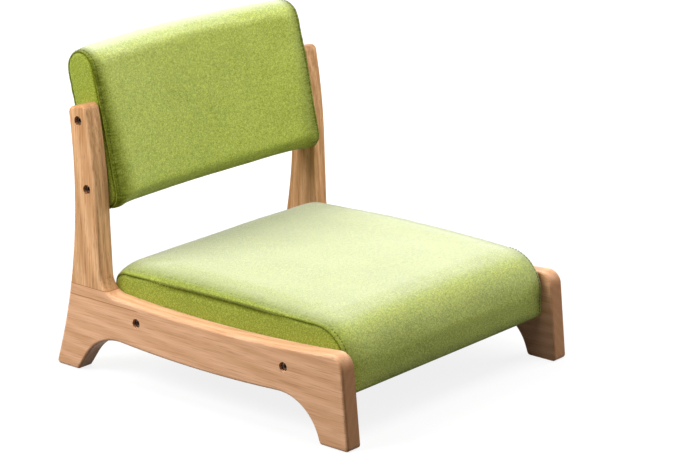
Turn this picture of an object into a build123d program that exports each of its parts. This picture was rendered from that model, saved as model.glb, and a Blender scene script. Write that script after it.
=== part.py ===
# Floor chair: two shaped wooden sides carry an upholstered seat and a curved back that leans rearwards.
# +X is to the right seen from the front, +Y runs towards the back and +Z is up from the floor.
from build123d import *
import os
from math import cos, radians, sin, sqrt, tan

# Overall sizes, in millimetres
WIDTH = 450.0
BASE_LENGTH = 502.0
SIDE_THICKNESS = 25.0
OUTER_EDGE_ROUND = 4.0
INNER_EDGE_EASE = 1.5

# Feet and arch of the side panels, with slopes in degrees from the floor
FRONT_FOOT_LENGTH = 46.0
REAR_FOOT_LENGTH = 41.0
FRONT_ARCH_SLOPE = 70.0
REAR_ARCH_SLOPE = 55.0
FRONT_ARCH_RADIUS = 65.0
REAR_ARCH_RADIUS = 70.0
ARCH_HEIGHT = 57.0
BELLY_DROP = 8.0
FOOT_CORNER = 5.0

# Front end and hollowed top edge of the side panels
PANEL_FRONT_HEIGHT = 120.5
TOE_FLARE = 12.0
FRONT_TOP_CORNER = 19.0
TOP_EDGE_DIP = 9.0

# Back posts: the joint on the panel, the straight stretch, the bend and the sloped top
JOINT_HEIGHT = 118.0
POST_ROOT_HEIGHT = 114.6
POST_ROOT_SETBACK = 87.2
POST_ROOT_LEAN = 2.2
COVE_RADIUS = 26.0
POST_BEND_HEIGHT = 228.0
POST_HEIGHT = 361.0
POST_TOP_SETBACK = 66.5
POST_TOP_DEPTH = 32.0
POST_TOP_SLOPE = 14.0
POST_TOP_CORNER = 8.0
WAIST_HEIGHT = 252.0
WAIST_SETBACK = 42.5

# Dowels between post and panel
DOWEL_DIAMETER = 10.0
DOWEL_LENGTH = 56.0
DOWEL_SPACING = 26.0
DOWEL_MIDDLE_SETBACK = 62.0
DOWEL_END_ROOM = 1.0
GLUE_CLEARANCE = 0.05

# Hexagon socket bolts and threaded inserts, the same ones in seat and back
BOLT_DIAMETER = 6.0
BOLT_LENGTH = 30.0
BOLT_HEAD_DIAMETER = 11.5
BOLT_HEAD_HEIGHT = 6.0
SOCKET_SIZE = 5.0
SOCKET_DEPTH = 3.0
COUNTERBORE_CLEARANCE = 0.5
COUNTERBORE_DEPTH = 10.0
BOLT_CLEARANCE = 0.3
INSERT_DIAMETER = 9.5
INSERT_LENGTH = 13.0
THREAD_CLEARANCE = 0.1
TIP_ROOM = 2.0

# Bolt places: the seat's pair along each panel, the back's pair up each post
SEAT_BOLT_HEIGHT = 87.0
SEAT_BOLT_FROM_TOE = 103.5
SEAT_BOLT_FROM_HEEL = 149.3
BACK_BOLT_HEIGHT = 293.6
BACK_BOLT_SETBACK = 60.2
BACK_BOLT_SPACING = 89.4
BACK_BOLT_LEAN = 8.0

# Upholstery cloth, the room it has beside the wood, the roll from a seam to the full section,
# and the strips that make the roll and the sweep across the width
COVER = 1.5
SIDE_GAP = 0.3
SEAM_ROLL = 24.0
ROLL_STRIPS = 2
SEAT_STRIPS = 4
BACK_STRIPS = 6

# Seat frame
RAIL_BELOW_BOLT = 26.5
RAIL_HEIGHT = 44.0
RAIL_WIDTH = 24.0
CENTRE_RAIL_WIDTH = 40.0
SEAT_BOARD = 9.0
FRONT_PADDING = 9.5

# Seat pad: its front face, waterfall nose, crown and the drop from the crown to the side seams
SEAT_FRONT_SETBACK = 21.5
SEAT_REAR_SETBACK = 87.0
SEAT_FOAM = 35.0
SEAT_BOW = 4.5
SEAT_CROWN = 2.0
SEAT_SEAM_DROP = 9.0
SEAT_REAR_FALL = 4.0
SEAT_FRONT_DRAW = 3.0
NOSE_RADIUS = 52.0
SEAT_REAR_ROUND = 18.0
SEAT_HEM_ROUND = 5.0
HEM_WIDTH = 34.0
DUST_COVER = 0.8
DUST_COVER_MARGIN = 12.0

# Back pad, in its own leaning frame: heights from the middle of its bolts, depth rearwards
BACK_TILT = 14.0
BACK_CURVE_RADIUS = 1000.0
BACK_BELOW = 73.5
BACK_ABOVE = 134.0
BACK_THICKNESS = 54.0
BACK_BOTTOM_ROUND = 18.0
BACK_BULGE = 2.5
BACK_TOP_CROWN = 4.0
BACK_SEAM_DRAW = 5.0

# Back board and the battens that take its bolts
BACK_BOARD = 12.0
BACK_BOARD_OFFSET = 3.0
BACK_FRAME_MARGIN = 18.0
BATTEN_WIDTH = 30.0
BATTEN_FRONT = 16.0
BATTEN_REAR = 16.0
REBATE_WIDTH = 14.0
BOARD_CLEARANCE = 0.2

# Places worked out from the sizes above
TOE_Y = -BASE_LENGTH / 2
HEEL_Y = BASE_LENGTH / 2
OUTER_X = WIDTH / 2
INNER_X = OUTER_X - SIDE_THICKNESS
PAD_X = INNER_X - SIDE_GAP
FRAME_X = PAD_X - COVER
BOLT_SEAT_X = OUTER_X - COUNTERBORE_DEPTH
BOLT_REACH = BOLT_LENGTH - (BOLT_SEAT_X - FRAME_X)
SEAT_BOLTS = [
    (TOE_Y + SEAT_BOLT_FROM_TOE, SEAT_BOLT_HEIGHT),
    (HEEL_Y - SEAT_BOLT_FROM_HEEL, SEAT_BOLT_HEIGHT),
]
BACK_MIDDLE = (HEEL_Y - BACK_BOLT_SETBACK, BACK_BOLT_HEIGHT)
BACK_BOLTS = [
    (
        BACK_MIDDLE[0] + way * BACK_BOLT_SPACING / 2 * sin(radians(BACK_BOLT_LEAN)),
        BACK_MIDDLE[1] + way * BACK_BOLT_SPACING / 2 * cos(radians(BACK_BOLT_LEAN)),
    )
    for way in (-1, 1)
]
RAIL_BOTTOM = SEAT_BOLT_HEIGHT - RAIL_BELOW_BOLT
BOARD_BOTTOM = RAIL_BOTTOM + RAIL_HEIGHT
BOARD_TOP = BOARD_BOTTOM + SEAT_BOARD
SEAT_BOTTOM = RAIL_BOTTOM - COVER
SEAT_TOP = BOARD_TOP + SEAT_FOAM + COVER
SEAT_FRONT = TOE_Y + SEAT_FRONT_SETBACK
SEAT_REAR = HEEL_Y - SEAT_REAR_SETBACK
FRAME_FRONT = SEAT_FRONT + COVER + FRONT_PADDING
FRAME_REAR = SEAT_REAR - COVER
BACK_FRAME = Plane(
    origin=(0, *BACK_MIDDLE),
    x_dir=(1, 0, 0),
    z_dir=(0, sin(radians(BACK_TILT)), cos(radians(BACK_TILT))),
)
BACK_FRAME_BOTTOM = -BACK_BELOW + BACK_FRAME_MARGIN
BACK_FRAME_TOP = BACK_ABOVE - BACK_FRAME_MARGIN
BOARD_END_X = FRAME_X - BATTEN_WIDTH + REBATE_WIDTH

SIDES = {"left": -1, "right": 1}


def side_outline():
    """Outline of one side, panel and post together, as a face seen from the side."""
    toe = (TOE_Y, 0)
    heel = (HEEL_Y, 0)
    front_arch_foot = (TOE_Y + FRONT_FOOT_LENGTH, 0)
    rear_arch_foot = (HEEL_Y - REAR_FOOT_LENGTH, 0)
    front_arch_top = (front_arch_foot[0] + ARCH_HEIGHT / tan(radians(FRONT_ARCH_SLOPE)), ARCH_HEIGHT)
    rear_arch_top = (rear_arch_foot[0] - ARCH_HEIGHT / tan(radians(REAR_ARCH_SLOPE)), ARCH_HEIGHT)
    belly = ((front_arch_top[0] + rear_arch_top[0]) / 2, ARCH_HEIGHT - BELLY_DROP)
    front_top = (TOE_Y + TOE_FLARE, PANEL_FRONT_HEIGHT)
    post_root = (HEEL_Y - POST_ROOT_SETBACK, POST_ROOT_HEIGHT)
    top_dip = (
        (front_top[0] + post_root[0]) / 2,
        (front_top[1] + post_root[1]) / 2 - TOP_EDGE_DIP,
    )
    root_lean = tan(radians(POST_ROOT_LEAN))
    post_bend = (post_root[0] + (POST_BEND_HEIGHT - POST_ROOT_HEIGHT) * root_lean, POST_BEND_HEIGHT)
    post_top_front = (HEEL_Y - POST_TOP_SETBACK, POST_HEIGHT)
    post_top_rear = (
        post_top_front[0] + POST_TOP_DEPTH * cos(radians(POST_TOP_SLOPE)),
        post_top_front[1] - POST_TOP_DEPTH * sin(radians(POST_TOP_SLOPE)),
    )
    waist = (HEEL_Y - WAIST_SETBACK, WAIST_HEIGHT)

    outline = make_face([
        Line(heel, rear_arch_foot),
        Line(rear_arch_foot, rear_arch_top),
        ThreePointArc(rear_arch_top, belly, front_arch_top),
        Line(front_arch_top, front_arch_foot),
        Line(front_arch_foot, toe),
        Line(toe, front_top),
        ThreePointArc(front_top, top_dip, post_root),
        Line(post_root, post_bend),
        TangentArc(post_bend, post_top_front, tangent=(root_lean, 1)),
        Line(post_top_front, post_top_rear),
        ThreePointArc(post_top_rear, waist, heel),
    ])
    rounded_corners = [
        (rear_arch_top, REAR_ARCH_RADIUS),
        (front_arch_top, FRONT_ARCH_RADIUS),
        (post_root, COVE_RADIUS),
        (front_top, FRONT_TOP_CORNER),
        (post_top_front, POST_TOP_CORNER),
        (post_top_rear, POST_TOP_CORNER),
        (heel, FOOT_CORNER),
        (toe, FOOT_CORNER),
        (front_arch_foot, FOOT_CORNER),
        (rear_arch_foot, FOOT_CORNER),
    ]
    for point, radius in rounded_corners:
        corner = outline.vertices().sort_by_distance((*point, 0))[0]
        outline = fillet(corner, radius)
    return outline


def along_x(place, diameter, start, end):
    """Round bar along X at a (Y, Z) place, from one X to another."""
    middle = (start + end) / 2
    bar = Cylinder(diameter / 2, abs(end - start), rotation=(0, 90, 0))
    return Pos(middle, *place) * bar


def dowel_places():
    """Y of the two dowels under one post."""
    middle = HEEL_Y - DOWEL_MIDDLE_SETBACK
    return [middle - DOWEL_SPACING / 2, middle + DOWEL_SPACING / 2]


def dowel_bores():
    """Bores for the dowels of the left side, through the joint between panel and post."""
    x = -(INNER_X + SIDE_THICKNESS / 2)
    radius = DOWEL_DIAMETER / 2 + GLUE_CLEARANCE
    length = DOWEL_LENGTH + 2 * DOWEL_END_ROOM
    return [Pos(x, y, JOINT_HEIGHT) * Cylinder(radius, length) for y in dowel_places()]


def bolt_bores(places):
    """Counterbored bolt holes through the left side."""
    bores = []
    for place in places:
        bores.append(along_x(place, BOLT_DIAMETER + 2 * BOLT_CLEARANCE, -OUTER_X, -INNER_X))
        counterbore = BOLT_HEAD_DIAMETER + 2 * COUNTERBORE_CLEARANCE
        bores.append(along_x(place, counterbore, -OUTER_X, -OUTER_X + COUNTERBORE_DEPTH))
    return bores


def left_side():
    """Panel and post of the left side: shaped together, parted at the glue joint and bored."""
    blank = Pos(-OUTER_X, 0, 0) * extrude(Plane.YZ * side_outline(), SIDE_THICKNESS)
    blank = fillet(blank.faces().filter_by(Axis.X).sort_by(Axis.X)[0].edges(), OUTER_EDGE_ROUND)
    blank = chamfer(blank.faces().filter_by(Axis.X).sort_by(Axis.X)[-1].edges(), INNER_EDGE_EASE)
    above_joint = Pos(-OUTER_X, HEEL_Y, JOINT_HEIGHT) * Box(
        SIDE_THICKNESS, POST_ROOT_SETBACK + COVE_RADIUS, POST_HEIGHT,
        align=(Align.MIN, Align.MAX, Align.MIN))
    panel = blank - above_joint - bolt_bores(SEAT_BOLTS) - dowel_bores()
    post = (blank & above_joint) - bolt_bores(BACK_BOLTS) - dowel_bores()
    return panel, post


def left_dowels():
    """Two beech dowels that join the left post to its panel."""
    x = -(INNER_X + SIDE_THICKNESS / 2)
    dowel = Cylinder(DOWEL_DIAMETER / 2, DOWEL_LENGTH)
    return Compound([Pos(x, y, JOINT_HEIGHT) * dowel for y in dowel_places()])


def bolt():
    """Socket head bolt along +X with the underside of its head at the origin."""
    head = Pos(-BOLT_HEAD_HEIGHT, 0, 0) * (Rot(0, 90, 0) * Cylinder(
        BOLT_HEAD_DIAMETER / 2, BOLT_HEAD_HEIGHT, align=(Align.CENTER, Align.CENTER, Align.MIN)))
    shank = Rot(0, 90, 0) * Cylinder(
        BOLT_DIAMETER / 2, BOLT_LENGTH, align=(Align.CENTER, Align.CENTER, Align.MIN))
    corner_radius = SOCKET_SIZE / sqrt(3)
    socket = extrude(Plane.YZ.offset(-BOLT_HEAD_HEIGHT) * RegularPolygon(corner_radius, 6), SOCKET_DEPTH)
    return head + shank - socket


def threaded_insert():
    """Threaded sleeve along +X whose flush end is at the origin."""
    ring = Circle(INSERT_DIAMETER / 2) - Circle(BOLT_DIAMETER / 2 + THREAD_CLEARANCE)
    return extrude(Plane.YZ * ring, INSERT_LENGTH)


def both_sides(piece, x, places):
    """One copy of a piece made along +X at each place on the left, with its mirror image on the right."""
    left = [Pos(x, *place) * piece for place in places]
    return Compound(left + [mirror(copy, about=Plane.YZ) for copy in left])


def fastener_nodes(name, places):
    """Bolts and inserts for the places of one cushion."""
    return {
        f"{name}_bolts": both_sides(bolt(), -BOLT_SEAT_X, places),
        f"{name}_inserts": both_sides(threaded_insert(), -FRAME_X, places),
    }


def insert_bores(places):
    """Blind bores on both sides for the inserts and for the tips of their bolts."""
    depth = max(INSERT_LENGTH, BOLT_REACH) + TIP_ROOM
    left = [along_x(place, INSERT_DIAMETER, -FRAME_X, -FRAME_X + depth) for place in places]
    return left + [mirror(bore, about=Plane.YZ) for bore in left]


def cloth_holes(places):
    """Holes through the side cloth of a cushion where its bolts pass."""
    diameter = BOLT_DIAMETER + 2 * BOLT_CLEARANCE
    left = [along_x(place, diameter, -PAD_X, -FRAME_X) for place in places]
    return left + [mirror(hole, about=Plane.YZ) for hole in left]


def seat_section(x, sink, rise, inset):
    """Section of the seat pad on one plane across X.

    sink is 1 at the side seams and 0 inside, rise is the crown's share there, inset draws every face in.
    """
    front = SEAT_FRONT + inset + SEAT_FRONT_DRAW * sink
    rear = SEAT_REAR - inset
    bottom = SEAT_BOTTOM + inset
    top = SEAT_TOP - inset - SEAT_SEAM_DROP * sink + SEAT_CROWN * rise
    rear_top = top - SEAT_REAR_FALL * sink
    nose = NOSE_RADIUS - inset
    rear_round = SEAT_REAR_ROUND - inset
    hem = SEAT_HEM_ROUND - inset
    crown = ((front + nose + rear - rear_round) / 2, (top + rear_top) / 2 + SEAT_BOW)
    outline = make_face([
        Line((rear, bottom), (front + hem, bottom)),
        TangentArc((front + hem, bottom), (front, bottom + hem), tangent=(-1, 0)),
        Line((front, bottom + hem), (front, top - nose)),
        TangentArc((front, top - nose), (front + nose, top), tangent=(0, 1)),
        ThreePointArc((front + nose, top), crown, (rear - rear_round, rear_top)),
        TangentArc((rear - rear_round, rear_top), (rear, rear_top - rear_round), tangent=(1, 0)),
        Line((rear, rear_top - rear_round), (rear, bottom)),
    ])
    return Plane.YZ.offset(x) * outline


def pad(section, strips, inset):
    """Cushion lofted through its sections: a roll up from each seam and a sweep of strips over the middle.

    The draw-in fades from 1 at the seam to 0 at the roll's inner end along a parabola.
    """
    edge = PAD_X - inset
    roll_end = edge - SEAM_ROLL
    stations = []
    for step in range(ROLL_STRIPS):
        share = (step / ROLL_STRIPS) ** 1.5
        stations.append((edge - SEAM_ROLL * share, (1 - share) ** 2))
    for step in range(strips // 2):
        stations.append((roll_end * (1 - 2 * step / strips), 0.0))
    left = [(-x, draw) for x, draw in stations]
    across = left + [(0.0, 0.0)] + stations[::-1]
    return loft([section(x, draw, 1 - (x / PAD_X) ** 2, inset) for x, draw in across], ruled=True)


def seat_pad(inset):
    """Whole seat cushion, drawn in all round by inset."""
    return pad(seat_section, SEAT_STRIPS, inset)


def seat_frame():
    """Timber rails and the plywood board of the seat."""
    length = FRAME_REAR - FRAME_FRONT
    middle_y = (FRAME_REAR + FRAME_FRONT) / 2
    between = 2 * (FRAME_X - RAIL_WIDTH)
    base = (Align.CENTER, Align.CENTER, Align.MIN)
    bores = insert_bores(SEAT_BOLTS)
    nodes = {}
    for side, way in SIDES.items():
        rail = Pos(way * (FRAME_X - RAIL_WIDTH / 2), middle_y, RAIL_BOTTOM) * Box(
            RAIL_WIDTH, length, RAIL_HEIGHT, align=base)
        nodes[f"seat_{side}_rail"] = rail - bores
    for end, y in (("front", FRAME_FRONT + RAIL_WIDTH / 2), ("rear", FRAME_REAR - RAIL_WIDTH / 2)):
        nodes[f"seat_{end}_rail"] = Pos(0, y, RAIL_BOTTOM) * Box(
            between, RAIL_WIDTH, RAIL_HEIGHT, align=base)
    nodes["seat_centre_rail"] = Pos(0, middle_y, RAIL_BOTTOM) * Box(
        CENTRE_RAIL_WIDTH, length - 2 * RAIL_WIDTH, RAIL_HEIGHT, align=base)
    nodes["seat_board"] = Pos(0, middle_y, BOARD_BOTTOM) * Box(2 * FRAME_X, length, SEAT_BOARD, align=base)
    return nodes


def seat_nodes():
    """Seat cushion: frame, board, foam, cloth cover and dust cover."""
    nodes = seat_frame()
    inner = seat_pad(COVER)
    frame_block = Pos(0, FRAME_FRONT, RAIL_BOTTOM) * Box(
        2 * FRAME_X, FRAME_REAR - FRAME_FRONT, BOARD_TOP - RAIL_BOTTOM,
        align=(Align.CENTER, Align.MIN, Align.MIN))
    nodes["seat_foam"] = inner - frame_block

    hem_opening = Pos(0, SEAT_FRONT + HEM_WIDTH, SEAT_BOTTOM) * Box(
        2 * (PAD_X - HEM_WIDTH), SEAT_REAR - SEAT_FRONT - 2 * HEM_WIDTH, COVER,
        align=(Align.CENTER, Align.MIN, Align.MIN))
    nodes["seat_cover"] = seat_pad(0) - inner - hem_opening - cloth_holes(SEAT_BOLTS)

    front = SEAT_FRONT + SEAT_HEM_ROUND + DUST_COVER_MARGIN
    rear = SEAT_REAR - DUST_COVER_MARGIN
    nodes["seat_dust_cover"] = Pos(0, front, SEAT_BOTTOM) * Box(
        2 * (PAD_X - DUST_COVER_MARGIN), rear - front, DUST_COVER,
        align=(Align.CENTER, Align.MIN, Align.MAX))
    return nodes


def back_set(x):
    """How far the back's middle surface lies behind its ends at one X, along its curve in plan."""
    return sqrt(BACK_CURVE_RADIUS ** 2 - x ** 2) - sqrt(BACK_CURVE_RADIUS ** 2 - PAD_X ** 2)


def back_section(x, draw, rise, inset):
    """Section of the back pad on one plane across X, in the back's own frame.

    draw is 1 at the end seams and 0 inside, rise is the crown's share there, inset draws every face in.
    """
    middle = back_set(x)
    shrink = inset + BACK_SEAM_DRAW * draw
    half = BACK_THICKNESS / 2 - shrink
    front = middle - half
    rear = middle + half
    top = BACK_ABOVE - shrink + BACK_TOP_CROWN * rise
    bottom = -BACK_BELOW + shrink
    low_round = BACK_BOTTOM_ROUND - inset
    waist_height = (bottom + low_round + top - half) / 2
    outline = make_face([
        Line((rear - low_round, bottom), (front + low_round, bottom)),
        TangentArc((front + low_round, bottom), (front, bottom + low_round), tangent=(-1, 0)),
        ThreePointArc((front, bottom + low_round), (front - BACK_BULGE, waist_height), (front, top - half)),
        TangentArc((front, top - half), (middle, top), tangent=(0, 1)),
        TangentArc((middle, top), (rear, top - half), tangent=(1, 0)),
        Line((rear, top - half), (rear, bottom + low_round)),
        TangentArc((rear, bottom + low_round), (rear - low_round, bottom), tangent=(0, -1)),
    ])
    return Plane.YZ.offset(x) * outline


def back_pad(inset):
    """Whole back cushion in its own frame, drawn in all round by inset."""
    return pad(back_section, BACK_STRIPS, inset)


def curved_plate(front_offset, thickness, half_length, bottom, top):
    """Upright plate bent to the back's curve, its front face front_offset behind the middle surface."""
    centre_y = -sqrt(BACK_CURVE_RADIUS ** 2 - PAD_X ** 2)
    inner = BACK_CURVE_RADIUS + front_offset
    ring = Circle(inner + thickness) - Circle(inner)
    reach = inner + thickness
    window = Pos(0, reach / 2) * Rectangle(2 * half_length, reach)
    band = Plane.XY.offset(bottom) * (Pos(0, centre_y) * (ring & window))
    return extrude(band, top - bottom)


def back_nodes():
    """Back cushion: battens, bent board, foam and cloth cover."""
    height = BACK_FRAME_TOP - BACK_FRAME_BOTTOM
    board = curved_plate(BACK_BOARD_OFFSET, BACK_BOARD, BOARD_END_X, BACK_FRAME_BOTTOM, BACK_FRAME_TOP)
    rebate = curved_plate(
        BACK_BOARD_OFFSET, BACK_THICKNESS, BOARD_END_X + BOARD_CLEARANCE, BACK_FRAME_BOTTOM, BACK_FRAME_TOP)
    local = {"back_board": board}
    battens = []
    for side, way in SIDES.items():
        blank = Pos(way * (FRAME_X - BATTEN_WIDTH / 2), -BATTEN_FRONT, BACK_FRAME_BOTTOM) * Box(
            BATTEN_WIDTH, BATTEN_FRONT + BATTEN_REAR, height, align=(Align.CENTER, Align.MIN, Align.MIN))
        battens.append(blank - rebate)
        local[f"back_{side}_batten"] = battens[-1]
    inner = back_pad(COVER)
    local["back_foam"] = inner - board - battens
    local["back_cover"] = back_pad(0) - inner
    nodes = {name: BACK_FRAME * shape for name, shape in local.items()}
    for name in ("back_left_batten", "back_right_batten", "back_board"):
        nodes[name] -= insert_bores(BACK_BOLTS)
    nodes["back_cover"] -= cloth_holes(BACK_BOLTS)
    return nodes


def chair_nodes():
    """Every piece of the chair by name, with Y still measured from the middle of the base."""
    panel, post = left_side()
    dowels = left_dowels()
    nodes = {
        "left_side_panel": panel,
        "right_side_panel": mirror(panel, about=Plane.YZ),
        "left_back_post": post,
        "right_back_post": mirror(post, about=Plane.YZ),
        "left_post_dowels": dowels,
        "right_post_dowels": mirror(dowels, about=Plane.YZ),
    }
    nodes |= seat_nodes()
    nodes |= back_nodes()
    nodes |= fastener_nodes("seat", SEAT_BOLTS)
    nodes |= fastener_nodes("back", BACK_BOLTS)
    return nodes


def main():
    """Write each piece, moved so that the origin lies on the floor under the middle of the chair's box."""
    nodes = chair_nodes()
    boxes = [shape.bounding_box() for shape in nodes.values()]
    middle_y = (min(box.min.Y for box in boxes) + max(box.max.Y for box in boxes)) / 2
    os.makedirs("parts", exist_ok=True)
    for name, shape in nodes.items():
        export_step(Pos(0, -middle_y, 0) * shape, f"parts/{name}.step")
    print(f"{len(nodes)} pieces, moved forward by {middle_y:.3f} mm")


main()
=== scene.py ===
"""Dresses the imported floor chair: wooden sides, two sewn cushions, their fastenings and a plain studio."""
import logging
import math
from dataclasses import dataclass, field
from enum import Enum
from functools import cache
from typing import Any, Iterator, Optional, Union

import bmesh
import bpy
from mathutils import Matrix, Vector, noise
from mathutils.bvhtree import BVHTree


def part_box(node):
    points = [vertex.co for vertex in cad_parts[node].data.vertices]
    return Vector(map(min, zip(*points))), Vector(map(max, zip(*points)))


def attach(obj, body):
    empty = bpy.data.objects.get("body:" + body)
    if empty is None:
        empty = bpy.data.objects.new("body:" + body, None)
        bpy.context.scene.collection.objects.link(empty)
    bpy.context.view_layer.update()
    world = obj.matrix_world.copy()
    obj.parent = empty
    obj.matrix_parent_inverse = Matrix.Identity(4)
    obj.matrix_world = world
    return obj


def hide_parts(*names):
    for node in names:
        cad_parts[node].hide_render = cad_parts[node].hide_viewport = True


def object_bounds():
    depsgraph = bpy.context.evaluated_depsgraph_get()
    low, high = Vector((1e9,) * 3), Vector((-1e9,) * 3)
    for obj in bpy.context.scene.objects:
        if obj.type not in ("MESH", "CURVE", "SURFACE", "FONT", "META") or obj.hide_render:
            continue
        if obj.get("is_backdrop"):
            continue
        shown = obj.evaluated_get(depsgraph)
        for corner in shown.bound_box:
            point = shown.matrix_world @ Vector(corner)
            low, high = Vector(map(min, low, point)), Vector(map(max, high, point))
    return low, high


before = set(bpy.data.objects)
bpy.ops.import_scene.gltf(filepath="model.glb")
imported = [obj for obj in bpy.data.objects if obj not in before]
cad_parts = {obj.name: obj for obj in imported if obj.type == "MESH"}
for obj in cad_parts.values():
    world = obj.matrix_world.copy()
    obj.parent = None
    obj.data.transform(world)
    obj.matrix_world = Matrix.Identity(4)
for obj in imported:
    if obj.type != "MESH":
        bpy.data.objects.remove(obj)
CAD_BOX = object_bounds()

MM = 0.001
TINY = 1e-5
TURN = 2 * math.pi
BODY = "root"
BOTH_WAYS = (-1, 1)
PUCKER_START = Vector((3, 7, 1))
LOG = logging.getLogger("floor_chair")

Socket = bpy.types.NodeSocket
Colour = tuple[float, float, float, float]
Scale = tuple[float, float, float]
Number = Union["Value", float]
Round = tuple[float, float, float, int]
Flat = tuple[int, float, float, tuple[int, ...]]


class Value:
    """A number that changes over a surface, for use in expressions."""

    def __init__(self, paint: "Paint", socket: Socket) -> None:
        """Wrap an output socket.

        Args:
            paint: the nodes that the socket belongs to.
            socket: the output that gives the number.
        """
        self.paint = paint
        self.socket = socket

    def math(self, operation: str, *others: Number) -> "Value":
        """Add one Math node with this value first.

        Args:
            operation: the Math node's operation.
            others: the further inputs.

        Returns:
            The node's result.
        """
        inputs = dict(enumerate((self, *others)))
        made = self.paint.node("ShaderNodeMath", {"operation": operation}, inputs)
        return Value(self.paint, made.outputs[0])

    def _swapped(self, operation: str, first: float) -> "Value":
        """Add one Math node with a number first and this value second."""
        made = self.paint.node("ShaderNodeMath", {"operation": operation}, {0: first, 1: self})
        return Value(self.paint, made.outputs[0])

    def __add__(self, other: Number) -> "Value":
        """Sum."""
        return self.math("ADD", other)

    __radd__ = __add__

    def __sub__(self, other: Number) -> "Value":
        """Difference."""
        return self.math("SUBTRACT", other)

    def __rsub__(self, other: float) -> "Value":
        """Difference from a number."""
        return self._swapped("SUBTRACT", other)

    def __mul__(self, other: Number) -> "Value":
        """Product."""
        return self.math("MULTIPLY", other)

    __rmul__ = __mul__

    def __truediv__(self, other: Number) -> "Value":
        """Quotient."""
        return self.math("DIVIDE", other)

    def __pow__(self, other: float) -> "Value":
        """Power."""
        return self.math("POWER", other)

    def __abs__(self) -> "Value":
        """Size without sign."""
        return self.math("ABSOLUTE")

    def sine(self) -> "Value":
        """Sine of a value in radians."""
        return self.math("SINE")

    def root(self) -> "Value":
        """Square root."""
        return self.math("SQRT")

    def ease(self, low: float, high: float) -> "Value":
        """Rise smoothly from 0 at low to 1 at high.

        Args:
            low: the value that gives 0.
            high: the value that gives 1.

        Returns:
            The eased value, held between 0 and 1.
        """
        settings = {"interpolation_type": "SMOOTHSTEP", "clamp": True}
        inputs = {"Value": self, "From Min": low, "From Max": high}
        return Value(self.paint, self.paint.node("ShaderNodeMapRange", settings, inputs).outputs["Result"])

    def line(self, place: float, half_width: float, core: float = 0.4) -> "Value":
        """Mark a thin line where the value passes a place.

        Args:
            place: the value at the middle of the line.
            half_width: how far from the middle the mark has faded.
            core: share of the half width in which it is full.

        Returns:
            1 on the line, fading to 0 beside it.
        """
        return 1.0 - abs(self - place).ease(half_width * core, half_width)


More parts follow.
